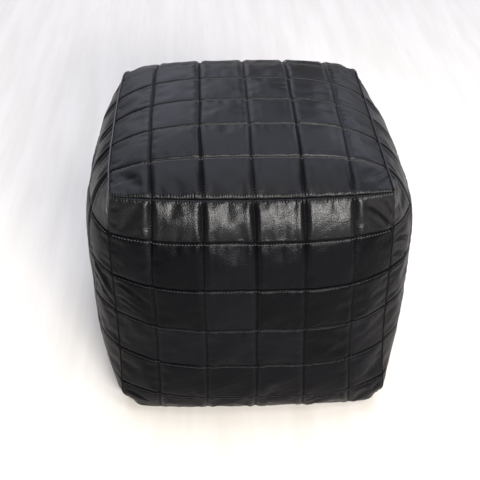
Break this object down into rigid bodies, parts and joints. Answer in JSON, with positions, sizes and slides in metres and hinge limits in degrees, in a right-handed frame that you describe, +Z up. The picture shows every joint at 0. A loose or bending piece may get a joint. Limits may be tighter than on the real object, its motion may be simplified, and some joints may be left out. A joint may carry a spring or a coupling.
{
  "type": "moroccan leather pouf",
  "caption": "Low square floor seat of soft black leather patchwork over wadding, stuffed firm, with topstitched seams and a zip across its underside.",
  "frame": {"origin": "on the floor, under the middle of the pouf", "axes": "+Z up; +X to the right seen from the front; the front panel faces -Y; the zip runs along X"},
  "size_m": [0.4568, 0.4568, 0.4164],
  "materials": {
    "leather": "black goat leather, satin with a pebbled grain",
    "thread": "waxed black polyester thread",
    "wadding": "white polyester wadding",
    "lining": "plain cotton lining",
    "calico": "unbleached cotton calico",
    "stuffing": "packed cotton waste",
    "zip_tape": "black woven polyester tape",
    "zip_metal": "antique brass"
  },
  "bodies": {
    "cover": {"top_patches": "leather", "front_patches": "leather", "back_patches": "leather", "left_patches": "leather", "right_patches": "leather", "top_wadding": "wadding", "front_wadding": "wadding", "back_wadding": "wadding", "left_wadding": "wadding", "right_wadding": "wadding", "top_lining": "lining", "front_lining": "lining", "back_lining": "lining", "left_lining": "lining", "right_lining": "lining", "bottom_leather_front": "leather", "bottom_leather_back": "leather", "top_edge_thread": "thread", "corner_thread": "thread", "bottom_edge_thread": "thread", "inner_bag": "calico", "stuffing": "stuffing", "zip_tape_front": "zip_tape", "zip_tape_back": "zip_tape", "zip_teeth_front": "zip_metal", "zip_teeth_back": "zip_metal", "zip_top_stops": "zip_metal", "zip_bottom_stop": "zip_metal", "zip_stitching": "thread"},
    "slider": {"zip_slider": "zip_metal"},
    "pull_tab": {"zip_pull": "zip_metal"}
  },
  "joints": [
    {"name": "zip_slide", "type": "slide", "parent": "cover", "child": "slider", "axis": [-1, 0, 0], "range_m": [0, 0.273], "deforming": ["zip_teeth_front", "zip_teeth_back"]},
    {"name": "pull_hinge", "type": "hinge", "parent": "slider", "child": "pull_tab", "pos_m": [0.1353, 0, 0.0027], "axis": [0, -1, 0], "range_deg": [0, 175]}
  ]
}
